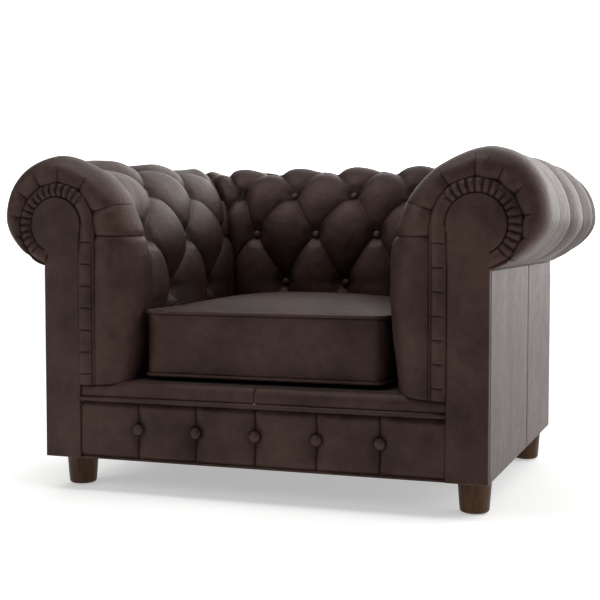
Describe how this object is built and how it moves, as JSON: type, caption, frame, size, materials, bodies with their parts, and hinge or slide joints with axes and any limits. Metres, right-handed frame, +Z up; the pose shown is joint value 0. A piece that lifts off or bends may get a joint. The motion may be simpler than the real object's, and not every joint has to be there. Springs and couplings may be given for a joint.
{
  "type": "chesterfield armchair",
  "caption": "Deep-buttoned leather armchair with rolled arms and a back of the same height, a loose box cushion and turned wooden feet.",
  "frame": {"origin": "middle of the chair's bounding box in plan, on the floor under the foot glides", "axes": "+Z up, +X to the right of someone facing the chair, and the front of the chair faces -Y"},
  "size_m": [1.18, 0.9, 0.73],
  "materials": {
    "leather": "aged dark brown aniline leather, semi matt",
    "button_leather": "leather covered button",
    "frame_beech": "planed beech",
    "birch_plywood": "sawn birch plywood",
    "fibreboard": "smooth hardboard",
    "foam": "open cell upholstery foam",
    "fibre_wrap": "polyester fibre wadding",
    "hessian": "plain woven jute",
    "deck_cloth": "dark brown platform cloth",
    "dust_cloth": "black bonded bottom cloth",
    "spring_steel": "drawn spring wire",
    "zinc_steel": "zinc plated steel",
    "turned_wood": "brown stained and varnished hardwood",
    "glide_plastic": "dark nylon",
    "zip_tape": "brown zip tape and coil",
    "zip_metal": "dark nickel zip slider"
  },
  "bodies": {
    "chair": {"arm_hessians": "hessian", "arm_ribs": "birch_plywood", "arm_tack_rails": "frame_beech", "arm_top_rails": "frame_beech", "back_buttons": "button_leather", "back_hessian": "hessian", "back_pad": "foam", "back_rail": "frame_beech", "back_ribs": "birch_plywood", "back_tack_rail": "frame_beech", "back_top_rail": "frame_beech", "base_border_cover": "leather", "base_border_pad": "foam", "base_buttons": "button_leather", "block_screws": "zinc_steel", "corner_blocks": "frame_beech", "dust_cover": "dust_cloth", "foot_bolts": "zinc_steel", "foot_glides": "glide_plastic", "frame_dowels": "frame_beech", "front_left_foot": "turned_wood", "front_rail": "frame_beech", "front_right_foot": "turned_wood", "inside_back_cover": "leather", "left_arm_buttons": "button_leather", "left_arm_cover": "leather", "left_arm_front_board": "birch_plywood", "left_arm_pad": "foam", "left_facing_panel": "leather", "left_outside_arm_cover": "leather", "left_pleated_band": "leather", "lip_welt": "leather", "outside_arm_boards": "fibreboard", "outside_back_board": "fibreboard", "outside_back_cover": "leather", "rear_left_foot": "turned_wood", "rear_posts": "frame_beech", "rear_right_foot": "turned_wood", "right_arm_buttons": "button_leather", "right_arm_cover": "leather", "right_arm_front_board": "birch_plywood", "right_arm_pad": "foam", "right_facing_panel": "leather", "right_outside_arm_cover": "leather", "right_pleated_band": "leather", "seat_deck_cover": "deck_cloth", "seat_deck_pad": "foam", "seat_hessian": "hessian", "seat_lip_cover": "leather", "seat_lip_pad": "foam", "seat_springs": "spring_steel", "side_rails": "frame_beech", "spring_clips": "spring_steel", "tee_nuts": "zinc_steel"},
    "seat_cushion": {"cushion_cover": "leather", "cushion_wrap": "fibre_wrap", "cushion_core": "foam", "cushion_welts": "leather", "cushion_zip": "zip_tape"},
    "zip_slider": {"zip_slider": "zip_metal"}
  },
  "joints": [
    {"name": "cushion_lift", "type": "slide", "parent": "chair", "child": "seat_cushion", "axis": [0, 0, 1], "range_m": [0, 0.35]},
    {"name": "zip_travel", "type": "slide", "parent": "seat_cushion", "child": "zip_slider", "axis": [-1, 0, 0], "range_m": [0, 0.4]}
  ]
}
